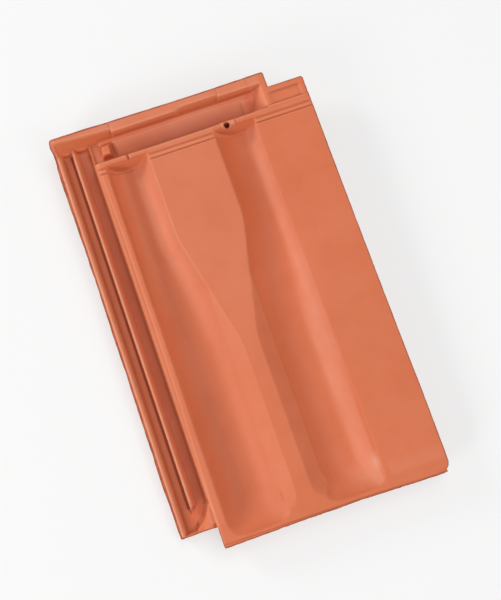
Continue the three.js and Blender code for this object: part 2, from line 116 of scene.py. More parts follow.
# the fired outline: how far the foot edge swings out, and where the other edges lie
FOOT_SWING = ((36, 0.0), (120, 0.1), (134, 0.5), (166, 0.7), (182, 1.1), (198, 1.75), (214, 2.4),
              (230, 3.05), (246, 3.6), (260, 3.55))
HEAD_LINE = ((2, 425.58), (10, 425.58), (26, 425.58), (42, 425.5), (58, 425.0), (82, 424.8),
             (122, 424.3), (146, 424.1), (170, 424.2), (202, 424.5), (222, 424.8))
SIDE_LINE = ((24, 0.75), (40, 0.6), (56, 0.25), (72, -0.25), (88, -0.2), (104, 0.2), (136, 0.2),
             (168, 0.4), (184, 0.65), (216, 0.2), (248, 0.6), (280, 0.8), (296, 0.3), (312, 0.65),
             (344, -0.1), (360, -0.3), (376, -0.65), (392, -0.5), (400, 0.0), (403, 0.55),
             (409, 0.55), (415, 0.5), (417, 0.1), (419, -0.48), (421, -0.45), (422.5, 0.15))
COVER_LINE = ((10, 260.1), (20, 260.2), (52, 260.5), (84, 260.5), (116, 260.1), (164, 260.0),
              (228, 259.9), (324, 260.0), (340, 260.2), (404, 260.4))
NOTCH_SHIFT = 1.2                               # of the face's left edge, near the foot
FOOT_CHIP = ((0, 3.2), (2.2, 4.2), (5.0, 1.6), (9.0, 0.0))


# ------------------------------------------------------------------ small helpers

def ramp(v, a, b):
    """0 at a, 1 at b, straight between and clamped outside."""
    return np.clip((v - a) / (b - a), 0.0, 1.0)


def smooth(v, a, b):
    """0 at a, 1 at b, eased at both ends."""
    t = ramp(v, a, b)
    return t * t * (3 - 2 * t)


def tent(v, at, half, top=1.0):
    """A straight-sided bump of height 1 around a place; a top over 1 cuts its peak flat."""
    return np.clip(top - np.abs(v - at) / half, 0, 1)


def knots(v, pairs):
    """Straight lines through (place, value) pairs."""
    at, value = zip(*pairs)
    return np.interp(v, at, value)


def flare(y):
    """1 towards the foot, where the troughs are wide, and 0 towards the head, with rounded bends."""
    t = np.asarray((STRAIGHT_FOOT + FLARE - y) / FLARE, float)
    bend = 0.1
    out = np.clip(t, 0, 1)
    out = np.where((t > -bend) & (t < bend), (t + bend) ** 2 / (4 * bend), out)
    return np.where((t > 1 - bend) & (t < 1 + bend), 1 - (1 + bend - t) ** 2 / (4 * bend), out)


def trough_width(y):
    return HEAD_WIDTH + (FOOT_WIDTH - HEAD_WIDTH) * flare(y)


def linked_noise(seed, octaves, step):
    """Smooth seeded noise along a line: each octave halves the spacing and the height."""
    rng = np.random.default_rng(seed)
    size = 256
    tables = [rng.uniform(-1, 1, size + 1) for _ in range(octaves)]

    def value(v):
        v = np.asarray(v, float)
        total = np.zeros_like(v)
        for k, table in enumerate(tables):
            t = (v + 37.0) / (step / 2 ** k)
            i = np.floor(t).astype(int)
            u = t - i
            u = u * u * (3 - 2 * u)
            low, high = table[i % (size + 1)], table[(i + 1) % (size + 1)]
            total += (low * (1 - u) + high * u) / 2 ** k
        return total
    return value


# ------------------------------------------------------------------ the fine height fields

STEP = 0.25
X0, Y0 = -4.0, -8.0
NX = int((COVER + 9) / STEP) + 1
NY = int((TILE_L + 14) / STEP) + 1
X, Y = np.meshgrid(X0 + STEP * np.arange(NX), Y0 + STEP * np.arange(NY), indexing="ij")


def blur(z, sigma):
    """Gaussian blur, sigma in mm."""
    s = sigma / STEP
    r = int(math.ceil(3 * s))
    kernel = np.exp(-0.5 * (np.arange(-r, r + 1) / s) ** 2)
    kernel /= kernel.sum()
    for axis in (0, 1):
        pad = [(0, 0), (0, 0)]
        pad[axis] = (r, r)
        padded = np.pad(z, pad, mode="edge")
        out = np.zeros_like(z)
        for i, weight in enumerate(kernel):
            part = [slice(None), slice(None)]
            part[axis] = slice(i, i + z.shape[axis])
            out += weight * padded[tuple(part)]
        z = out
    return z


def sample(field, x, y):
    """Bilinear lookup of a fine field."""
    fx = np.clip((x - X0) / STEP, 0, NX - 1.001)
    fy = np.clip((y - Y0) / STEP, 0, NY - 1.001)
    i, j = fx.astype(int), fy.astype(int)
    a, b = fx - i, fy - j
    return (field[i, j] * (1 - a) * (1 - b) + field[i + 1, j] * a * (1 - b)
            + field[i, j + 1] * (1 - a) * b + field[i + 1, j + 1] * a * b)


def bowl_and_shoulder(u, y):
    """Depths of a trough's bowl and shoulder at u from its outer edge, and the trough's width."""
    w = trough_width(y)
    k = flare(y)
    crease = np.minimum(w, FOOT_WIDTH - SHOULDER)
    crease_depth = (w - crease) * SHOULDER_SLOPE
    depth = BOWL_DEPTH + BOWL_GAIN * k
    deepest = crease * (0.453 + 0.047 * k)
    # a higher power makes the wall steeper and the bottom flatter
    outer_power, inner_power = 3.3 - 0.65 * k, 2.15 + 0.5 * k
    from_outer = 1 - np.clip(u / deepest, 0, 1)
    from_crease = 1 - np.clip((crease - u) / (crease - deepest), 0, 1)
    outer = (1 - from_outer ** outer_power) * depth
    inner = crease_depth + (1 - from_crease ** inner_power) * (depth - crease_depth)
    bowl = np.where(u < deepest, outer, inner)
    bowl = np.where(u > crease, crease_depth - (u - crease) * 1.25, bowl)
    # the shoulder starts in a small step behind the crease and ends in a faint edge
    shoulder = (w - u) * SHOULDER_SLOPE + 0.16 * np.exp(-np.maximum(u - crease, 0) / 2.0)
    shoulder = np.where(u > crease + 0.2, shoulder, 0)
    out = (u <= 0) | (u >= w)
    return np.where(out, 0, np.maximum(bowl, 0)), np.where(out, 0, np.maximum(shoulder, 0)), w


def foot_run(y, land, run):
    """Share of the full depth along a trough's rounded foot, which starts at land."""
    return np.sin(ramp(y, land, land + run) * math.pi / 2) ** 0.8


def corner_inset(y, land, radius):
    """How far a trough's side moves in where its foot corner is rounded."""
    d = np.clip(y - land, 0, radius)
    return radius - np.sqrt(np.maximum(radius ** 2 - (radius - d) ** 2, 0))


def trough(u, land):
    """Depth of one trough under the weather face; land is the flat strip at its foot."""
    bowl_run, bowl_corner = 38, 14.0
    bowl_width = np.minimum(trough_width(Y), 61.5)
    inset = corner_inset(Y, land, bowl_corner)
    squeezed = (u - inset) / np.maximum(bowl_width - 2 * inset, 1) * bowl_width
    bowl, shoulder, w = bowl_and_shoulder(np.where(u < bowl_width, squeezed, u), Y)
    at_head = knots(Y, HEAD_WALL) * (BOWL_DEPTH + BOWL_GAIN)
    bowl = np.minimum(bowl * foot_run(Y, land, bowl_run), at_head)
    shoulder_land, shoulder_run, shoulder_head = 10.6, 20, 262
    shoulder_end = w - corner_inset(Y, shoulder_land, shoulder_run) * 0.8
    shoulder = np.maximum(shoulder - (w - shoulder_end) * SHOULDER_SLOPE, 0)
    shoulder = shoulder * foot_run(Y, shoulder_land, shoulder_run)
    on_shoulder = (u > FOOT_WIDTH - SHOULDER) & (u < shoulder_end)
    on_shoulder &= (Y < shoulder_head) & (Y > shoulder_land)
    return np.maximum(bowl, np.where(on_shoulder, shoulder, 0))


def head_rim_edge(x):
    """y of the head rim's inner top edge: four pressed lengths."""
    later = np.where(x < 173, THIRD_RIM_EDGE, LAST_RIM_EDGE)
    later = np.where(x < 130, SECOND_RIM_EDGE, later)
    return np.where(x < RIM_JOINTS[0], knots(x, FIRST_RIM_LENGTH), later)


def field_edge(x):
    """y of the weather face's head edge, which bows a little and steps at the flange."""
    return np.where(x > FLANGE_LEFT, 388.9, knots(x, FIELD_EDGE))


def spill_edge(x):
    """y of the curved edge of the block that both grooves spill over at the foot."""
    t = np.linspace(1, 0, 25)
    curve_x, curve_y = (start * (1 - t) ** 2 + 2 * bend * t * (1 - t) + end * t ** 2
                        for start, bend, end in SPILL_CURVE.T)
    return np.interp(x, curve_x, curve_y, left=20.0, right=47)


def side_lock():
    """Outer rim, groove with a slot, rib and the deeper inner groove."""
    low = knots(X, LOCK_PROFILE)
    slot_left, rib_left, rib_right = 14.6, 18.0, 24.4
    floor_fall, inner_fall, block_rise = 0.5, 2.0, 4.5
    # the rib stops short of the foot, where both grooves spill over a corner block
    rib_foot = 41.5 + (X - rib_left) * 0.65
    rib_end = np.where((X > slot_left) & (X < rib_right), ramp(Y, rib_foot, rib_foot + 2.3), 1)
    floor = GROOVE_FLOOR - floor_fall * ramp(X, 24, 33)
    low = np.where(X > slot_left, floor + (low - floor) * rib_end, low)
    inner_floor = np.maximum(low, floor - inner_fall * ramp(Y, 44, 60))
    low = np.where((X > 24.2) & (Y < 60), inner_floor, low)
    end_rim = ramp(Y, 23.6, 22.0)
    low = np.maximum(low, floor + (LOCK_TOP - floor) * end_rim)
    block = np.where(X > rib_left, smooth(spill_edge(X) - Y, -1.7, 2.6), 0)
    block_top = LOCK_TOP + block_rise * smooth(X, 22.0, 35.5) * ramp(Y, 52, 40)
    return np.maximum(low, floor + (block_top - floor) * block)


def channel_and_dam():
    """Coved channel with a step near its end; dam with a nub where it meets the side lock."""
    step_height, step_lip, pit_depth = 1.3, 0.5, 2.4
    dam_height, dam_lip, dam_ridge, nub_height, dam_head = 4.4, 0.45, 2.2, 9.0, 410.8
    channel = knots(Y, CHANNEL_PROFILE)
    past_step = ramp(X, 194.2, 195.2)
    in_channel = Y < CHANNEL_HEAD
    stepped = (channel + step_height) * past_step + channel * (1 - past_step)
    stepped = np.maximum(channel, stepped) + step_lip * tent(X, 194.6, 1.1)
    channel = np.where(in_channel, np.minimum(stepped, HEAD_RIB_TOP), channel)
    across_dam = ramp(X, 33.8, 36.0) * ramp(X, 47.2, 46.2)
    along_dam = (Y > 387) & (Y < dam_head)
    dam = CHANNEL_FLOOR + dam_height * across_dam * ((Y > 384) & (Y < dam_head))
    dam = dam + dam_lip * tent(X, 45.9, 0.9) * along_dam
    dam = dam + dam_ridge * tent(X, 36.4, 1.6) * along_dam
    nub_x = ramp(X, 46.2, 47.6) * ramp(X, 56.4, 54.6)
    nub_y = ramp(Y, 395.4, 396.8) * ramp(Y, 407.6, 405.8)
    nub = CHANNEL_FLOOR + nub_height * np.minimum(nub_x, nub_y) ** 0.7
    channel = channel - pit_depth * smooth(X, 62.5, 56.0) * ramp(Y, 410, 407)
    right_of_dam = np.maximum(channel, np.maximum(dam, nub))
    return np.where(X < 46.0, np.maximum(dam, CHANNEL_FLOOR), right_of_dam)


def head_rim(low):
    """Adds the head rim with its inner wall, and the ridge at its outer corner."""
    wall_foot, rim_top = -15.3, -1.0
    edge, foot = head_rim_edge(X), knots(X, RIM_WALL_FOOT)
    wall = wall_foot + (Y - foot) * ((rim_top - wall_foot) / (edge - foot))
    wall = np.where(Y < foot, wall_foot - (foot - Y) * 4.0, np.minimum(wall, rim_top))
    low = np.where((Y > 400) & (X > 4.0), np.maximum(low, wall), low)
    ridge_x = knots(Y, ((404, 3.9), (424, 2.8)))
    ridge = knots(Y, CORNER_CREST) - np.abs(X - ridge_x) * np.where(X < 3.4, 1.9, 0.9)
    return np.where((X <= 8.0) & (Y > 404), np.maximum(low, ridge), low)


def head_lock(low):
    """Adds the head lock and the flange's recessed head to the side lock."""
    keep = (X < FIELD_LEFT - 1.0) | ((X < 38) & (Y < 380))
    low = np.where(keep, low, channel_and_dam())
    low = np.where(X > 199.0, np.maximum(low, knots(X, END_FLANK)), low)
    flange_top, side_fall, recess_depth = -1.0, 1.0, 1.6
    recess = smooth(X, 217.6, 229.0) * smooth(X, 255.6, 252.0) * ramp(Y, 401.9, 401.3)
    flange = flange_top - side_fall * smooth(X, 221.5, 216.0) - recess_depth * recess
    return head_rim(np.where(X > FLANGE_LEFT, flange, low))


def weather_side():
    """Height of everything but the troughs, and the troughs' depth."""
    low = head_lock(side_lock())
    # weather face: leaning walls, and a low ledge along the side lock
    left_run, head_run, wall_drop, no_face = 1.5, 1.4, 20.0, -60
    ledge_drop, edge_drop, left_land, right_land = 1.15, 0.9, 5.4, 4.8
    left = FIELD_LEFT + NOTCH_SHIFT * smooth(Y, 54, 34)
    out = np.maximum((left - X) / left_run, (Y - field_edge(X)) / head_run)
    ledge = knots(Y, LEDGE_EDGE)
    face = -ledge_drop * smooth(X, ledge + 0.9, ledge - 1.0)
    face = face - edge_drop * smooth(X, 37.0, 35.8)
    field = np.where(out < 1, face - wall_drop * np.clip(out, 0, 1), no_face)
    field = np.where((X < FIELD_LEFT + 1.3) & (X > 33) & (Y < 17), face, field)
    both = np.maximum(trough(X - LEFT_EDGE, left_land), trough(RIGHT_EDGE - X, right_land))
    return np.maximum(field, low), np.where(out <= 0, both, 0)


def pressed_marks(z, depth_under):
    """Lines, pad and nick near the head of the weather face, and the head rim's joints."""
    pad_height, nick_depth, joint_depth = 0.8, 2.2, 1.0
    flat = (depth_under < 0.3) & (X > FIELD_LEFT + 1.5) & (Y < FIELD_HEAD) & (X < 259)
    for y0, depth, half in PRESSED_LINES:
        line = tent(Y, y0 + knots(X, LINE_BOW), half, 1.25)
        z = np.where(flat, z - depth * line * ramp(X, 38.2, 39.4), z)
    pad = ramp(X, 165.0, 166.0) * ramp(X, 181.0, 180.0) * ramp(Y, 378.4, 380.6) * (Y < 387.0)
    z = z + pad_height * pad * np.where(Y > 379.5, 1, 0.6)
    z = z - nick_depth * tent(X, NICK_X, 1.0, 1.3) * ramp(Y, 380.8, 381.6) * (Y < 388)
    for x0 in RIM_JOINTS:
        z = z - joint_depth * tent(X, x0, 1.0, 1.1) * ramp(Y, 412, 414) * (Y < 422)
    return z


def under_side():
    """Height of the underside: plate, foot lip, web, cover ribs, bellies, head block and nibs."""
    lip_depth, rib_depth = 5, 6
    belly_depth, belly_gain, belly_side, belly_power = 25.5, 2.5, 6.5, 2.6
    z = np.full_like(X, -PLATE)
    z = np.minimum(z, np.where(Y < 9.5, -PLATE - lip_depth * ramp(Y, 10.6, 9.0), -PLATE))
    web = ramp(X, 48, 45)
    z = np.where(Y > LOCK_SETBACK, np.minimum(z, -PLATE + (UNDER + PLATE) * web), z)
    inner_rib = ramp(X, 236.8, 237.5) * ramp(X, 242.0, 241.3)
    edge_rib = ramp(X, 250.8, 251.8)
    z = np.minimum(z, -PLATE - rib_depth * np.maximum(inner_rib, edge_rib))
    for u in (X - LEFT_EDGE, RIGHT_EDGE - X):
        half = trough_width(Y) / 2
        t = np.abs(u - half) / (half + belly_side)
        belly = belly_depth + belly_gain * flare(Y)
        belly = belly * np.sqrt(np.clip(1 - t ** belly_power, 0, 1))
        z = np.minimum(z, -belly * foot_run(Y, 4.0, BELLY_FOOT - 4.0) * (Y < 384))
    z = np.maximum(z, BELLY_BOTTOM + 0.1)
    block = ramp(Y, 360, 366) * ramp(X, HEAD_LOCK_END, HEAD_LOCK_END - 3)
    z = np.minimum(z, -PLATE + (UNDER + PLATE) * block)
    z = np.where(X < FIELD_LEFT, UNDER, z)
    for x0 in NIB_LEFTS:
        nib = ramp(X, x0 - 0.6, x0 + 0.4) * ramp(X, x0 + NIB_WIDTH, x0 + NIB_WIDTH - 1)
        nib = np.minimum(nib, ramp(Y, NIB_FOOT - 0.2, NIB_FOOT + 0.2))
        nib = np.minimum(nib, np.clip((NIB_FOOT + NIB_LENGTH - Y) / 2.5, 0, 1))
        z = np.where(nib > 0, np.minimum(z, UNDER - NIB_DEPTH * nib), z)
    return z


SOFT_FACE, SOFT_TROUGHS, SOFT_UNDER = 0.3, 0.42, 0.7            # how far each field is blurred
rough, hollow = weather_side()
plate = blur(pressed_marks(rough, hollow), SOFT_FACE)
top_field = plate - blur(hollow, SOFT_TROUGHS)
bottom_field = blur(under_side(), SOFT_UNDER)

# convex edges of the weather face come out positive and show as worn clay; hollows come out negative
# and get painted shade
RELIEF_REACH, FULL_RELIEF = 1.3, 0.30
edges = np.clip((plate - blur(plate, RELIEF_REACH)) / FULL_RELIEF, -1, 1)
hollow_shade = np.clip((top_field - blur(top_field, RELIEF_REACH)) / FULL_RELIEF, -1, 0)
relief = np.where(edges > 0.02, edges, hollow_shade)

# ------------------------------------------------------------------ mesh lines

def spread(*runs):
    """Line places: (start, end, spacing) runs joined end to end."""
    out = [runs[0][0]]
    for a, b, s in runs:
        n = max(1, round((b - a) / s))
        out += list(a + (b - a) * np.arange(1, n + 1) / n)
    return np.array(out)


def lines(*parts):
    return np.unique(np.concatenate([np.atleast_1d(p) for p in parts]).round(4))


NEAR = 1e-6                         # slack for comparing line places
EDGE = np.array([0, 0.12, 0.35, 0.7, 1.2])
HOLE_I, HOLE_J = 3, 4               # cells from the nail hole's middle to its edge
HOLE_REACH = 3.3
lock_x = lines(SIDE + EDGE,
               spread((1.0, 2.6, 0.55), (2.6, 9.8, 0.45), (9.8, 14.4, 0.8), (14.4, 24.4, 0.42),
                      (24.4, 33.2, 0.85), (33.2, 36.0, 0.4), (36.0, 42.4, 0.45), (42.4, 45.2, 1.4)),
               FIELD_LEFT + EDGE)
trough_share = spread((0.0, 0.09, 0.018), (0.09, 0.74, 0.0265), (0.74, 0.84, 0.0145),
                      (0.84, 0.95, 0.022), (0.95, 1.0, 0.0167))
ridge_share = spread((0.0, 0.12, 0.024), (0.12, 0.88, 0.076), (0.88, 1.0, 0.024))
panel_x = lines(spread((201.2, 208.0, 1.1), (208.0, 219.0, 0.6), (219.0, 222.4, 0.9)),
                HEAD_LOCK_END - EDGE, HEAD_LOCK_END + EDGE,
                spread((226.4, 252.0, 2.6), (252.0, 256.0, 0.7), (256.0, 259.3, 0.7)), COVER - EDGE)
line_y = lines(EDGE, spread((1.2, 19.2, 0.82)), LOCK_SETBACK - EDGE, LOCK_SETBACK + EDGE,
               spread((21.6, 50.0, 0.95), (50, 60, 2.0), (60, 160, 4.0), (160, 310, 3.2),
                      (310, 364, 4.2), (364, 372.4, 1.2), (372.4, NAIL_Y - HOLE_REACH, 0.44),
                      (NAIL_Y - HOLE_REACH, NAIL_Y + HOLE_REACH, 0.825),
                      (NAIL_Y + HOLE_REACH, 391.0, 0.45), (391.0, 406.8, 0.75)),
               FLANGE_HEAD - EDGE, FLANGE_HEAD + EDGE, spread((409.2, 424.4, 0.5)), TILE_L - EDGE)


def row_of_nodes(y):
    """Places of one line's nodes across the tile, which follow the troughs' width."""
    w = float(trough_width(y))
    left = LEFT_EDGE + trough_share * w
    right = RIGHT_EDGE - trough_share[::-1] * w
    mid = left[-1] + (right[0] - left[-1]) * ridge_share[1:-1]
    return np.concatenate([lock_x, left, mid, right, panel_x])


GX = np.array([row_of_nodes(y) for y in line_y]).T
GY = np.repeat(line_y[None, :], GX.shape[0], 0)
NU, NV = GX.shape


def nearest(places, value):
    return int(np.argmin(np.abs(places - value)))


hole_j = nearest(line_y, NAIL_Y)
hole_i = nearest(GX[:, hole_j], NAIL_X)
step_i, end_i = nearest(GX[:, 0], FIELD_LEFT), nearest(GX[:, 0], HEAD_LOCK_END)
foot_j, flange_j = nearest(line_y, LOCK_SETBACK), nearest(line_y, FLANGE_HEAD)


def in_tile(i0, i1, j0, j1):
    """True where a cell between these grid lines belongs to the tile."""
    out = ((i1 <= step_i) & (j1 <= foot_j)) | ((i0 >= end_i) & (j0 >= flange_j))
    bored = ((i0 >= hole_i - HOLE_I) & (i1 <= hole_i + HOLE_I)
             & (j0 >= hole_j - HOLE_J) & (j1 <= hole_j + HOLE_J))
    return ~(out | bored)


on_side = GY >= LOCK_SETBACK - NEAR
on_cover = GY <= FLANGE_HEAD + NEAR
on_head = GX <= HEAD_LOCK_END + NEAR
under_field = GX >= FIELD_LEFT

# distance of every node to the tile's outline, for the worn arrises
FAR = 1e3
outline_gaps = (
    np.where(on_side, GX - SIDE, FAR),
    np.where(GX >= FIELD_LEFT - NEAR, GY, GY - LOCK_SETBACK),
    np.where(GY <= LOCK_SETBACK + NEAR, GX - FIELD_LEFT, FAR),
    np.where(on_cover, COVER - GX, HEAD_LOCK_END - GX),
    np.where(on_head, TILE_L - GY, FLANGE_HEAD - GY))
reach = np.minimum.reduce([np.abs(gap) for gap in outline_gaps])


def arris(d, r):
    """Drop of an edge worn to radius r, at distance d from it."""
    v = np.clip(r - d, 0, r)
    return r - np.sqrt(np.maximum(r * r - v * v, 0))


# the outline as it was pressed, trimmed and fired: rounded corners, swung and worn edges
PX, PY = GX.copy(), GY.copy()


def round_corner(x, y, r, sx, sy):
    """Rounds one outward corner; sx, sy point out of the tile."""
    u = ((PX - x) * sx + r) / r
    v = ((PY - y) * sy + r) / r
    m = (u > 0) & (v > 0) & (u <= 1.001) & (v <= 1.001)
    un = u * np.sqrt(np.clip(1 - v * v / 2, 0, 1))
    vn = v * np.sqrt(np.clip(1 - u * u / 2, 0, 1))
    PX[m] = (x + sx * (un * r - r))[m]
    PY[m] = (y + sy * (vn * r - r))[m]


for corner in ((SIDE, TILE_L, 2.4, -1, 1), (SIDE, LOCK_SETBACK, 1.8, -1, -1),
               (FIELD_LEFT, 0.0, 1.9, -1, -1), (COVER, 0.0, 1.6, 1, -1),
               (COVER, FLANGE_HEAD, 2.8, 1, 1), (HEAD_LOCK_END, TILE_L, 2.4, 1, 1)):
    round_corner(*corner)

PY -= knots(GX, FOOT_SWING) * ramp(GY, 34, 0) * under_field
notch_shift = np.where(GX > FIELD_LEFT, ramp(GX, 41.0, FIELD_LEFT), ramp(GX, 31.0, FIELD_LEFT))
PX += NOTCH_SHIFT * ramp(GY, 24.0, LOCK_SETBACK) * notch_shift
PY -= (TILE_L - knots(GX, HEAD_LINE)) * ramp(GY, 413.5, TILE_L) * on_head
PX += (knots(GY, SIDE_LINE) - SIDE) * ramp(GX, 3.0, SIDE) * on_side
PX += (knots(GY, COVER_LINE) - COVER) * ramp(GX, 254, COVER) * on_cover

# small burrs along the edges, and the knocked-off corner at the foot of the cover edge
burr, fine_burr = linked_noise(11, 3, 5.0), linked_noise(12, 3, 4.0)
PX += 0.2 * burr(GY) * ramp(GX, 2.0, SIDE) * on_side
PX -= np.abs(0.22 * fine_burr(GY)) * ramp(GX, 257.5, COVER) * on_cover
PY += np.abs(0.36 * burr(GX + 90)) * ramp(GY, 2.5, 0) * under_field
PY += 0.15 * fine_burr(GX) * ramp(np.abs(GY - LOCK_SETBACK), 1.5, 0) * ~under_field
PY -= np.abs(0.2 * burr(GX + 200)) * ramp(GY, 423, TILE_L) * on_head
chip = knots(GY, FOOT_CHIP) * ramp(GX, 246, COVER)
PX -= chip * (GX > 240)

# the nail hole: rings of nodes drawn onto ovals
for di in range(-2 * HOLE_I, 2 * HOLE_I + 1):
    for dj in range(-2 * HOLE_J, 2 * HOLE_J + 1):
        t = max(abs(di) / HOLE_I, abs(dj) / HOLE_J) - 1
        if t < -NEAR:
            continue
        i, j = hole_i + di, hole_j + dj
        a = math.atan2(dj / HOLE_J, di / HOLE_I)
        r = 1 + 0.03 * math.sin(3 * a + 1)
        PX[i, j] = (NAIL_X + r * NAIL_R[0] * math.cos(a)) * (1 - t) + PX[i, j] * t
        PY[i, j] = (NAIL_Y + r * NAIL_R[1] * math.sin(a)) * (1 - t) + PY[i, j] * t
from_hole = (np.hypot((PX - NAIL_X) / NAIL_R[0], (PY - NAIL_Y) / NAIL_R[1]) - 1) * NAIL_R[0]
HOLE_ARRIS, TOP_ARRIS, LOW_ARRIS = 0.35, 1.1, 1.0
hole_arris = arris(np.maximum(from_hole, 0), HOLE_ARRIS)

ZT = sample(top_field, PX, PY) - arris(reach, TOP_ARRIS) - hole_arris
ZB = sample(bottom_field, PX, PY) + arris(reach, LOW_ARRIS) + hole_arris
ZT -= 1.0 * ramp(GY, 2.8, 0.3) * under_field + 0.5 * chip * ramp(GY, 9, 0)

# ------------------------------------------------------------------ dark, worn and pale clay, with painted shade, light and sheen

def patch(x0, x1, y0, y1):
    """True inside a rectangle of the tile's plan."""
    return (PX > x0) & (PX < x1) & (PY > y0) & (PY < y1)


def band(v, at, half, core):
    """1 within core of a line, fading to 0 at half."""
    return smooth(np.abs(v - at), half, core)


def spot(x, y, wide, tall, lean=0.0):
    """1 at a point, fading all round; wide and tall are its spreads squared."""
    return np.exp(-(PX - x - lean * (PY - y)) ** 2 / wide - (PY - y) ** 2 / tall)


ragged = 0.55 + 0.25 * burr(PX * 1.3 + PY * 0.9) + 0.2 * fine_burr(PY * 1.7 - PX)
ridge_in = np.minimum(PX - LEFT_EDGE, RIGHT_EDGE - PX) - trough_width(PY)
on_flat = (ridge_in > 0) | (PX < LEFT_EDGE) | (PX > RIGHT_EDGE)
in_from_edge = RIGHT_EDGE - PX
in_lock = patch(-9, 36, 44, 408)
past_spill = spill_edge(PX) - PY
by_face_wall = patch(31.5, 38.5, 24.5, 44) & (past_spill > 2.6)
recess_edges = sum(band(PY, y0, 1.1, 0.3) * smooth(PX, 220, 225) * patch(218, 253.5, 388, 403)
                   for y0 in (389.8, 401.6))
pressed = recess_edges + sum(
    band(PY, line[0] + knots(PX, LINE_BOW), half, core) * (on_flat & patch(38.5, 258, low, high))
    for line, half, core, low, high in ((PRESSED_LINES[0], 1.3, 0.4, 377, 383),
                                        (PRESSED_LINES[1], 1.0, 0.3, 372, 377)))
corner_spot = spot(-0.1, 419.4, 2.6, 5.0)

# dark lines of painted shade along the side lock and under the ledge: x, where they fade out, where
# they are full, strength, y from, y to
LOCK_SHADE_LINES = (
    (16.4, 2.1, 1.0, 1.0, 44, 408),             # the slot
    (7.8, 2.0, 0.7, 0.14, 24, 408),             # the rim's inner flank
    (9.2, 1.3, 0.4, 0.38, 26, 408),             # the foot of that flank
    (36.8, 1.5, 0.5, 0.18, 50, 386))            # under the ledge
# dark spots, painted shade in the pocket and at the notch's corner, and the chip's dark spot: x, y,
# spread across and along, lean, strength
DARK_SPOTS = (
    (19.7, 27.6, 2.2, 6.5, 0.3, 0.95),          # the pocket at the end of the spill block
    (34.6, 22.4, 2.5, 2.5, 0.0, 0.6),           # the notch's corner
    (257.8, -0.5, 3.0, 3.0, 0.0, 0.8))          # the chip
FOOT_LINE = ((36, 3.8), (65, 3.1), (130, 2.0), (165, 1.1), (200, -0.1), (230, -1.6), (256, -2.3))


def dark_skin_and_painted_shade():
    """0 on plain clay, up to 1 on the outline's dark skin, which is partly painted shade of its
    arrises, and on painted shade in the slot, the grooves, the deep corners, the creases and the
    pressed lines.
    """
    ragged_skin = 1.5 * np.clip(ragged, 0.45, 1)
    # the outline: dark skin, partly painted shade on the arrises that turn away from the light
    marks = [np.clip(ramp(reach, 1.7, 0.5) * ragged_skin, 0, 1),
             ramp(GX, 3.2, 1.9) * on_side * np.clip(ragged + 0.25, 0.6, 1.0),
             smooth(reach, 2.6, 1.3) * np.clip(ragged + 0.3, 0.7, 1) * patch(-9, 222, 420, 440),
             corner_spot]
    marks += [strength * band(PX, x, half, core) * patch(-9, 40, y0, y1)
              for x, half, core, strength, y0, y1 in LOCK_SHADE_LINES]
    marks += [strength * spot(x, y, wide, tall, lean)
              for x, y, wide, tall, lean, strength in DARK_SPOTS]
    # painted shade in the grooves, on the dam, in the pit beside the nub and in the channel by the
    # field wall
    marks += [0.12 * patch(8.5, 15, 44, 408),
              (0.12 + 0.33 * smooth(PX, 28.8, 34.2)) * (in_lock & (PX > 24) & (PY < 405)),
              0.16 * patch(37.5, 46, 388, 409.5),
              0.50 * smooth(PX, 64.5, 57) * patch(55.5, 66, 390, 407),
              0.52 * smooth(PY, 397.5, 390.0) * (patch(46, 203, 386, 400) & (ZT < -10))]
    # painted shade along the spill block's edge and at the slot's end
    marks += [0.24 * band(past_spill, -0.6, 1.5, 0.4) * patch(18, 36, 22, 52),
              0.7 * band(PX, 17.0, 0.9, 0.3) * smooth(PY, 37.5, 40.5) * patch(14, 20, 37, 46)]
    # the dark line along the foot edge, partly skin and partly painted shade of its arris, and painted
    # shade of a faint hollow over the flange's foot
    marks += [0.5 * band(PY, knots(PX, FOOT_LINE), 0.9, 0.3) * patch(38, 257, -4, 7),
              0.06 * band(PY, 8.0, 4.0, 1.0) * patch(205, 259, 2, 13)]
    # painted shade in the nick, at the pad's ends and in the pressed lines
    marks += [0.7 * band(PX, NICK_X, 1.2, 0.6) * patch(68, 72, 381, 386.8), 0.07 * pressed]
    marks += [0.4 * band(PX, x0, 0.8, 0.3) * patch(160, 185, 380, 386.5) for x0 in (165.4, 180.6)]
    # painted shade in the troughs: on the outer flank of the right one, on the floor of the left one
    # and along the crease
    crease = RIGHT_EDGE - FOOT_WIDTH + SHOULDER
    marks += [0.07 * smooth(in_from_edge, 4.4, 1.8) * smooth(PY, 160, 80)
              * patch(190, RIGHT_EDGE - 0.4, 14, 370),
              0.09 * band(PX, 80, 34, 12) * smooth(PY, 10, 30) * smooth(PY, 300, 220)
              * patch(46, 116, 8, 300),
              0.16 * band(PX, crease, 1.1, 0.3) * smooth(PY, 262, 240) * patch(130, 160, 14, 264)]
    return np.maximum.reduce(marks)


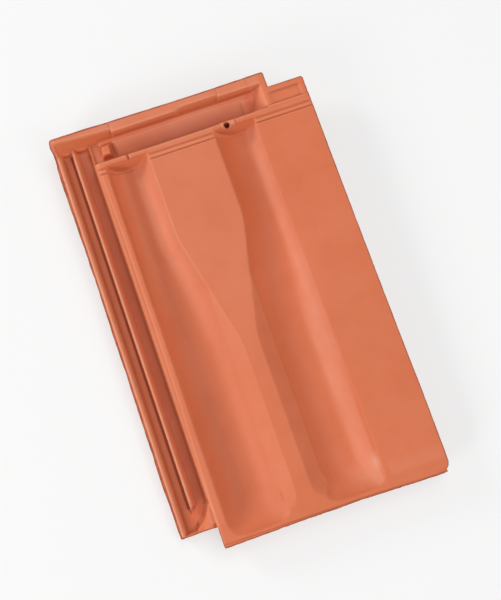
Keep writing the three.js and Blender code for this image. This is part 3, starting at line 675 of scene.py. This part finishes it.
def edge_wear_and_painted_shading():
    """1 on worn convex edges and -1 in hollows, where it paints shade; some places are set one by one,
    to painted light on walls and flanks and to painted shade on the spill block's flank.
    """
    wear_and_painted_shading = sample(relief, PX, PY)
    # no worn edges on the spill block, and painted shade on its flank
    wear_and_painted_shading = np.where(patch(18, 37, 22, 50), np.minimum(wear_and_painted_shading, 0), wear_and_painted_shading)
    spill_flank_shade = band(past_spill, 0.6, 2.4, 1.2) * patch(18, 35.4, 22, 50)
    wear_and_painted_shading = wear_and_painted_shading * (1 - spill_flank_shade) - 0.8 * spill_flank_shade
    # no painted hollow shade at these lit places: beside the face wall, in the head corner and along
    # the channel
    lit = (by_face_wall | patch(1, 14, 406, 421)
           | patch(46, 218, 392, 411.5) | patch(190, 219, 389, 411.5))
    wear_and_painted_shading = np.where(lit, np.maximum(wear_and_painted_shading, 0), wear_and_painted_shading)
    # painted light on the steep head walls of the troughs
    head_wall_light = ~on_flat & (ZT < -1.0) & (PY > 375.2) & (PY < 381.2)
    wear_and_painted_shading = np.where(head_wall_light, 0.9, wear_and_painted_shading)
    # painted light on the right trough's outer flank towards the head
    right_flank_light = 0.5 * smooth(in_from_edge, 24, 9) * smooth(PY, 200, 300)
    in_right = patch(150, RIGHT_EDGE, 6, 376)
    wear_and_painted_shading = np.where(in_right, np.maximum(wear_and_painted_shading, right_flank_light), wear_and_painted_shading)
    # painted light on the rib's right flank
    rib_flank_light = smooth(PX, 20.2, 21.2) * smooth(PX, 24.0, 23.0) * patch(19, 25, 46, 408)
    wear_and_painted_shading = np.maximum(wear_and_painted_shading, rib_flank_light * 2 - 1)
    # painted light on the left trough's left wall near the head
    in_left = PX - LEFT_EDGE
    left_wall_light = 0.75 * smooth(in_left, 0.6, 3.0) * smooth(in_left, 22, 10) * smooth(PY, 180, 260)
    wear_and_painted_shading = np.where(patch(LEFT_EDGE, 90, 170, 374), np.maximum(wear_and_painted_shading, left_wall_light), wear_and_painted_shading)
    # the pressed lines get painted shade
    return wear_and_painted_shading * (1 - pressed) - 0.9 * pressed


def flank_painted_sheen():
    """Painted sheen on the troughs' inner flanks and on the right trough's outer flank, which face the
    left lamps, with a painted highlight near the right trough's foot.
    """
    # the flanks that climb towards the right face the left lamps and get painted sheen
    climb = (sample(top_field, PX + 0.4, PY) - sample(top_field, PX - 0.4, PY)) / 0.8
    flank = 0.27 * smooth(climb, 0.02, 0.36)
    flank *= np.where(PX < 140, 0.35 + 0.65 * smooth(PY, 120, 320), 1)
    near_foot = smooth(PY, 150, 60)
    edge_fade = 1 - 0.7 * near_foot * smooth(in_from_edge, 5.5, 1.5)
    flank *= np.where(in_from_edge < 30, edge_fade, 1)
    inward_fade = 1 - smooth(PY, 150, 250) * smooth(in_from_edge, 8.0, 18.0)
    flank *= np.where(PX > 140, inward_fade, 1)
    by_edge = smooth(in_from_edge, 0.2, 1.6) * smooth(in_from_edge, 26.0, 9.0) * (1 - near_foot)
    flank = np.maximum(flank, 0.32 * by_edge * smooth(in_from_edge, 17.0, 8.0))
    # a painted highlight near the right trough's foot, and a broad painted sheen on its foot ramp
    flank += 0.5 * spot(196.6, 28.5, 16.0, 48.0)
    return np.maximum(flank, 0.24 * spot(184, 19, 240.0, 200.0))


def paint_pale_skin_and_sheen():
    """The paler, pinker clay: partly pale skin and partly painted sheen on the head rim and the ridge,
    and painted sheen and highlights on the flanks, the lock's crests, the channel and its step.
    """
    # pale skin and painted sheen on the ridge, growing towards the head
    ridge_pale_and_sheen = 0.09 * smooth(ridge_in, -1.0, 3.0) * smooth(PY, 90, 260) * (PY < FIELD_HEAD)
    # painted light in the channel, growing towards its crest
    channel = (0.14 + 0.11 * smooth(PY, 394.5, 401.5)) * smooth(PX, 203, 197)
    # (place, paleness and painted sheen, True to keep what is paler there already), later rows over
    # earlier ones
    layers = (
        # painted sheen on the flanks, the end flank and the crests, painted highlights on the channel's
        # step and by the face wall, painted light on the flange's foot
        (patch(LEFT_EDGE, RIGHT_EDGE, 6, 376), flank_painted_sheen(), True),
        (patch(-9, 217, 411, 440), 0.17 * smooth(ZT, -3.4, -1.4), False),               # head rim
        (patch(203, 219, 389, 440), 0.2 * smooth(PX, 203, 209) * smooth(PX, 219, 216), False),
        (patch(60, 203, 388, 411), channel, False),
        (patch(37.5, 46, 388, 409.5), 0.1, False),                                      # dam
        (patch(190, 200, 389, 407), 0.4 * band(PX, 195.3, 1.1, 0.4), True),             # channel's step
        (patch(166, 180, 380.5, 386.5), 0.25, False),                                   # pad
        (in_lock & (PX > 20.6), 0.06, False),                                           # inner groove
        (patch(205, 258, 8, 30), 0.08 * band(PY, 17, 9.0, 2.0), False),                 # flange's foot
        (patch(37.5, 44.0, 22, 386), 0.08, True),                                       # left strip
        (by_face_wall, 0.22, False),
        ((PY < 409) & (PY > 22), 0.5 * band(PX, 4.2, 3.0, 0.5), True),                  # rim's crest
        ((PY < 409) & (PY > 42), 0.5 * band(PX, 19.5, 2.3, 0.5), True))                 # rib's crest
    pale_skin_and_painted_sheen = ridge_pale_and_sheen
    for place, pale, keep in layers:
        pale_skin_and_painted_sheen = np.where(place, np.maximum(pale_skin_and_painted_sheen, pale) if keep else pale, pale_skin_and_painted_sheen)
    return pale_skin_and_painted_sheen


SKIN_AND_PAINTED_SHADE, WEAR_AND_PAINTED_SHADING, PALE_SKIN_AND_PAINTED_SHEEN = dark_skin_and_painted_shade(), edge_wear_and_painted_shading(), paint_pale_skin_and_sheen()

# ------------------------------------------------------------------ one closed mesh

def thin(at, gap, keep):
    """Indices of the lines that the plainer underside keeps."""
    out = [0]
    for k in range(1, len(at)):
        if k in keep or k == len(at) - 1 or at[k] - at[out[-1]] >= gap:
            out.append(k)
    return np.array(out)


GAP_ACROSS, GAP_ALONG = 1.5, 2.2
low_i = thin(GX[:, foot_j], GAP_ACROSS, {step_i, end_i, hole_i - HOLE_I, hole_i + HOLE_I})
low_j = thin(line_y, GAP_ALONG, {foot_j, flange_j, hole_j - HOLE_J, hole_j + HOLE_J})

points, faces = [], []
skins = {"wear_and_painted_shading": [], "skin_and_painted_shade": [], "pale_skin_and_painted_sheen": []}


def add(x, y, z, wear_and_painted_shading, skin_and_painted_shade, pale_skin_and_painted_sheen=0.0):
    """Adds nodes with their skins, and returns the first one's number."""
    first = sum(len(p) for p in points)
    points.append(np.stack([x, y, z], -1).reshape(-1, 3))
    for name, value in (("wear_and_painted_shading", wear_and_painted_shading), ("skin_and_painted_shade", skin_and_painted_shade), ("pale_skin_and_painted_sheen", pale_skin_and_painted_sheen)):
        skins[name].append(np.broadcast_to(value, np.shape(x)).ravel())
    return first


def skin(ii, jj, z, wear_and_painted_shading, skin_and_painted_shade, up):
    """One face of the tile on the given grid lines; returns node numbers and used cells."""
    i, j = np.meshgrid(ii, jj, indexing="ij")
    used = in_tile(i[:-1, :-1], i[1:, :-1], j[:-1, :-1], j[:-1, 1:])
    need = np.zeros(i.shape, bool)
    for a in (0, 1):
        for c in (0, 1):
            need[a:len(ii) - 1 + a, c:len(jj) - 1 + c] |= used
    x, y, height, wear_and_shading, dark, pale = (v[i, j][need] for v in (PX, PY, z, wear_and_painted_shading, skin_and_painted_shade, PALE_SKIN_AND_PAINTED_SHEEN))
    first = add(x, y, height, wear_and_shading, dark, pale if up else 0.0)
    number = np.full(i.shape, -1)
    number[need] = np.arange(int(need.sum())) + first
    a, c = np.nonzero(used)
    quad = [number[a, c], number[a + 1, c], number[a + 1, c + 1], number[a, c + 1]]
    faces.extend(np.stack(quad if up else quad[::-1], 1).tolist())
    return number, used


def border(ii, jj, used):
    """Directed outline edges of the used cells, as pairs of full grid nodes."""
    pad = np.pad(used, 1)
    nu, nv = used.shape
    for ni, nj, a, b in ((0, -1, (0, 0), (1, 0)), (1, 0, (1, 0), (1, 1)),
                         (0, 1, (1, 1), (0, 1)), (-1, 0, (0, 1), (0, 0))):
        ei, ej = np.nonzero(used & ~pad[1 + ni:1 + ni + nu, 1 + nj:1 + nj + nv])
        for i, j in zip(ei, ej):
            yield (ii[i + a[0]], jj[j + a[1]]), (ii[i + b[0]], jj[j + b[1]])


all_i, all_j = np.arange(NU), np.arange(NV)
top_id, top_used = skin(all_i, all_j, ZT, WEAR_AND_PAINTED_SHADING, SKIN_AND_PAINTED_SHADE, True)
low_id, low_used = skin(low_i, low_j, ZB, np.zeros_like(ZB), 0.25 * SKIN_AND_PAINTED_SHADE, False)
low_at = {(i, j): low_id[a, b] for a, i in enumerate(low_i) for b, j in enumerate(low_j)}

# side walls: a column of nodes under every node of the outline
SIDE_ROWS = 3
share = np.arange(1, SIDE_ROWS + 1) / (SIDE_ROWS + 1)
column = {}
top_edges = list(border(all_i, all_j, top_used))
for node in sorted({n for edge in top_edges for n in edge}):
    i, j = node
    # the side walls take the outline's dark skin and painted shade
    wall_skin_and_shade = np.maximum(0.3 + 0.3 * (1 - share) * (ragged[i, j] - 0.5), corner_spot[i, j])
    first = add(np.full(SIDE_ROWS, PX[i, j]), np.full(SIDE_ROWS, PY[i, j]),
                ZT[i, j] * (1 - share) + ZB[i, j] * share, 0.0, wall_skin_and_shade)
    column[node] = [top_id[i, j]] + list(range(first, first + SIDE_ROWS))
for a, b in top_edges:
    ca, cb = column[a], column[b]
    faces.extend([ca[k], ca[k + 1], cb[k + 1], cb[k]] for k in range(SIDE_ROWS))
for a, b in border(low_i, low_j, low_used):
    n = max(abs(b[0] - a[0]), abs(b[1] - a[1]))
    run = [(a[0] + (b[0] - a[0]) * k // n, a[1] + (b[1] - a[1]) * k // n) for k in range(n + 1)]
    faces.append([column[node][-1] for node in run][::-1] + [low_at[a], low_at[b]])

# laid on the floor as the CAD part is
cad_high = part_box("roof_tile")[1]
ON_FLOOR = -(NIB_BOTTOM * COS + (NIB_FOOT + NIB_BEVEL) * SIN)
MID_Y = TILE_L * COS - (UNDER + HEAD_BEVEL) * SIN - cad_high.y * 1000
MID_X = (SIDE + COVER) / 2


def lay(p):
    """Places in the tile's own frame (mm) to places in the scene (m)."""
    p = np.asarray(p, float)
    x, y, z = p[..., 0], p[..., 1], p[..., 2]
    return np.stack([x - MID_X, y * COS - z * SIN - MID_Y, y * SIN + z * COS + ON_FLOOR], -1) / 1000


mesh = bpy.data.meshes.new("roof_tile_clay")
mesh.from_pydata(lay(np.concatenate(points)).tolist(), [], faces)
mesh.polygons.foreach_set("use_smooth", np.ones(len(faces), bool))
for name, values in skins.items():
    attribute = mesh.attributes.new(name, "FLOAT", "POINT")
    attribute.data.foreach_set("value", np.concatenate(values).astype(np.float32))
mesh.update()
tile = bpy.data.objects.new("roof_tile_clay", mesh)
bpy.context.scene.collection.objects.link(tile)

# ------------------------------------------------------------------ clay

CLAY, CLAY_BROAD, CLAY_BLOTCH = (0.68, 0.162, 0.062), (0.64, 0.149, 0.053), (0.61, 0.128, 0.045)
CLAY_GRAIN, CLAY_PALE_AND_SHEEN = (0.70, 0.235, 0.11), (0.77, 0.39, 0.275)
CLAY_WORN_AND_PAINTED_LIGHT, CLAY_PAINTED_HOLLOW_SHADE, CLAY_SKIN_AND_SHADE = (0.80, 0.31, 0.16), (0.42, 0.10, 0.034), (0.24, 0.056, 0.029)


def clay_material():
    """Procedural fired clay, steered by the mesh's three skins, which carry wear and dark and pale skin
    together with painted shade, painted light and painted sheen.
    """
    mat = bpy.data.materials.new("fired_clay")
    mat.use_nodes = True
    nodes, link = mat.node_tree.nodes, mat.node_tree.links.new
    shader = nodes["Principled BSDF"]
    place = nodes.new("ShaderNodeTexCoord")

    def noise(scale, detail, roughness, distortion=0.0):
        texture = nodes.new("ShaderNodeTexNoise")
        for name, value in (("Scale", scale), ("Detail", detail), ("Roughness", roughness),
                            ("Distortion", distortion)):
            texture.inputs[name].default_value = value
        link(place.outputs["Object"], texture.inputs["Vector"])
        return texture.outputs["Fac"]

    def remap(value, a, b, low, high):
        """Clamped straight map: a gives low and b gives high."""
        node = nodes.new("ShaderNodeMapRange")
        for name, number in (("From Min", a), ("From Max", b), ("To Min", low), ("To Max", high)):
            node.inputs[name].default_value = number
        link(value, node.inputs["Value"])
        return node.outputs["Result"]

    def tint(share, under, colour):
        """Mixes a plain colour over what is under it, by a share of 0 to 1."""
        node = nodes.new("ShaderNodeMix")
        node.data_type = "RGBA"
        link(share, node.inputs["Factor"])
        if isinstance(under, tuple):
            node.inputs["A"].default_value = (*under, 1)
        else:
            link(under, node.inputs["A"])
        node.inputs["B"].default_value = (*colour, 1)
        return node.outputs["Result"]

    def skin_value(name):
        node = nodes.new("ShaderNodeAttribute")
        node.attribute_name = name
        return node.outputs["Fac"]

    def bump(distance, strength, height):
        node = nodes.new("ShaderNodeBump")
        node.inputs["Distance"].default_value = distance
        node.inputs["Strength"].default_value = strength
        link(height, node.inputs["Height"])
        return node

    broad = noise(9.0, 3, 0.45)
    blotch = noise(38.0, 4, 0.55, 0.3)
    grain = noise(900.0, 3, 0.6)
    wear_and_painted_shading, skin_and_painted_shade, pale_skin_and_painted_sheen = (skin_value(name) for name in ("wear_and_painted_shading", "skin_and_painted_shade", "pale_skin_and_painted_sheen"))
    patchy = nodes.new("ShaderNodeMath")
    patchy.operation = "MULTIPLY"
    link(pale_skin_and_painted_sheen, patchy.inputs[0])
    link(remap(noise(26.0, 4, 0.6, 0.4), 0.3, 0.62, 0.55, 1.0), patchy.inputs[1])

    body = tint(remap(broad, 0.35, 0.68, 0.0, 1.0), CLAY, CLAY_BROAD)
    body = tint(remap(blotch, 0.45, 0.72, 0.0, 0.35), body, CLAY_BLOTCH)
    body = tint(remap(grain, 0.55, 0.8, 0.0, 0.22), body, CLAY_GRAIN)
    # pale skin, and painted sheen and highlights, in patches
    body = tint(patchy.outputs["Value"], body, CLAY_PALE_AND_SHEEN)
    # worn convex edges, and painted light on some steep walls and flanks
    body = tint(remap(wear_and_painted_shading, 0.25, 1.0, 0.0, 0.28), body, CLAY_WORN_AND_PAINTED_LIGHT)
    # painted shade in the hollows and the pressed lines
    body = tint(remap(wear_and_painted_shading, -0.15, -1.0, 0.0, 0.55), body, CLAY_PAINTED_HOLLOW_SHADE)
    # the outline's dark skin, and painted shade in grooves, corners, creases and lines
    body = tint(remap(skin_and_painted_shade, 0.0, 1.0, 0.0, 0.82), body, CLAY_SKIN_AND_SHADE)
    link(body, shader.inputs["Base Color"])
    link(remap(skin_and_painted_shade, 0.1, 0.9, 0.5, 0.12), shader.inputs["Specular IOR Level"])
    link(remap(blotch, 0.3, 0.7, 0.56, 0.66), shader.inputs["Roughness"])

    grain_bump = bump(0.00012, 0.35, grain)
    waves = bump(0.0006, 0.25, noise(60.0, 3, 0.5))
    link(waves.outputs["Normal"], grain_bump.inputs["Normal"])
    link(grain_bump.outputs["Normal"], shader.inputs["Normal"])
    return mat


mesh.materials.append(clay_material())
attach(tile, "root")
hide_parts("roof_tile")

# ------------------------------------------------------------------ floor and world

FLOOR_HALF = 3.0                    # metres
WHITE_SHARE = 0.6                   # of the plain white in what the camera sees of the floor


def floor_material():
    """A pale floor that is seen mostly as plain white, and that keeps part of the shadow."""
    mat = bpy.data.materials.new("floor")
    mat.use_nodes = True
    nodes, link = mat.node_tree.nodes, mat.node_tree.links.new

    def math_node(kind):
        node = nodes.new("ShaderNodeMath")
        node.operation = kind
        return node

    shader = nodes["Principled BSDF"]
    shader.inputs["Base Color"].default_value = (0.86, 0.86, 0.86, 1)
    shader.inputs["Roughness"].default_value = 0.8
    shader.inputs["Specular IOR Level"].default_value = 0.2
    white = nodes.new("ShaderNodeEmission")
    white.inputs["Color"].default_value = (0.97, 0.97, 0.968, 1)
    blend = nodes.new("ShaderNodeMixShader")
    ray = nodes.new("ShaderNodeLightPath")
    seen = ray.outputs["Is Camera Ray"]
    for kind in ("Is Glossy Ray", "Is Transmission Ray"):
        either = math_node("MAXIMUM")
        link(seen, either.inputs[0])
        link(ray.outputs[kind], either.inputs[1])
        seen = either.outputs["Value"]
    part = math_node("MULTIPLY")
    part.inputs[1].default_value = WHITE_SHARE
    link(seen, part.inputs[0])
    link(part.outputs["Value"], blend.inputs["Fac"])
    link(shader.outputs["BSDF"], blend.inputs[1])
    link(white.outputs["Emission"], blend.inputs[2])
    link(blend.outputs["Shader"], nodes["Material Output"].inputs["Surface"])
    return mat


floor_mesh = bpy.data.meshes.new("floor")
floor_corners = [(-FLOOR_HALF, -FLOOR_HALF, 0), (FLOOR_HALF, -FLOOR_HALF, 0),
                 (FLOOR_HALF, FLOOR_HALF, 0), (-FLOOR_HALF, FLOOR_HALF, 0)]
floor_mesh.from_pydata(floor_corners, [], [(0, 1, 2, 3)])
floor_mesh.materials.append(floor_material())
floor = bpy.data.objects.new("floor", floor_mesh)
bpy.context.scene.collection.objects.link(floor)

world = bpy.data.worlds.new("studio")
bpy.context.scene.world = world
world.use_nodes = True
background = world.node_tree.nodes["Background"]
background.inputs["Color"].default_value = (1.0, 0.99, 0.98, 1)
background.inputs["Strength"].default_value = 0.2

# ------------------------------------------------------------------ light

LAMP_DISTANCE = 2.2
# name, azimuth and elevation in degrees, size in metres, power in watts
LAMPS = (
    ("left_head", 135, 24, 0.7, 21.6),
    ("left_foot", 210, 24, 0.7, 21.2),
    ("right_foot", 315, 50, 1.4, 14.8),
    ("above", 45, 68, 1.4, 15.2),
    ("right_low", 0, 20, 0.9, 2.6))


def softbox(name, azimuth, elevation, size, power):
    """Square lamp that looks at the tile from a direction."""
    a, e = math.radians(azimuth), math.radians(elevation)
    place = LAMP_DISTANCE * Vector((math.cos(a) * math.cos(e), math.sin(a) * math.cos(e), math.sin(e)))
    light = bpy.data.lights.new(name, "AREA")
    light.shape = "SQUARE"
    light.size = size
    light.energy = power
    lamp = bpy.data.objects.new(name, light)
    lamp.location = place
    lamp.rotation_mode = "QUATERNION"
    lamp.rotation_quaternion = (-place).to_track_quat("-Z", "Y")
    bpy.context.scene.collection.objects.link(lamp)


for lamp_values in LAMPS:
    softbox(*lamp_values)

# ------------------------------------------------------------------ camera

# fitted to the tile's own straight edges, in the tile's frame (rows: right, down, in)
CAM_AT = (75.652, 84.151, 848.528)
CAM_R = ((0.942852, -0.332748, 0.017565), (-0.325755, -0.931562, -0.161479),
         (0.070094, 0.146529, -0.98672))
LENS, SENSOR = 54.0, 36.0           # 900 pixels of focal length in a frame 600 pixels high
cam = bpy.data.cameras.new("camera")
cam.lens, cam.sensor_width, cam.sensor_fit = LENS, SENSOR, "AUTO"
cam.clip_start, cam.clip_end = 0.01, 50
right, down, ahead = np.array(CAM_R) @ np.array([[1, 0, 0], [0, COS, -SIN], [0, SIN, COS]]).T
at = lay(CAM_AT)
view = bpy.data.objects.new("camera", cam)
view.matrix_world = Matrix([(right[k], -down[k], -ahead[k], at[k]) for k in range(3)]
                           + [(0, 0, 0, 1)])
bpy.context.scene.collection.objects.link(view)
bpy.context.scene.camera = view
bpy.context.scene.view_settings.view_transform = "Standard"
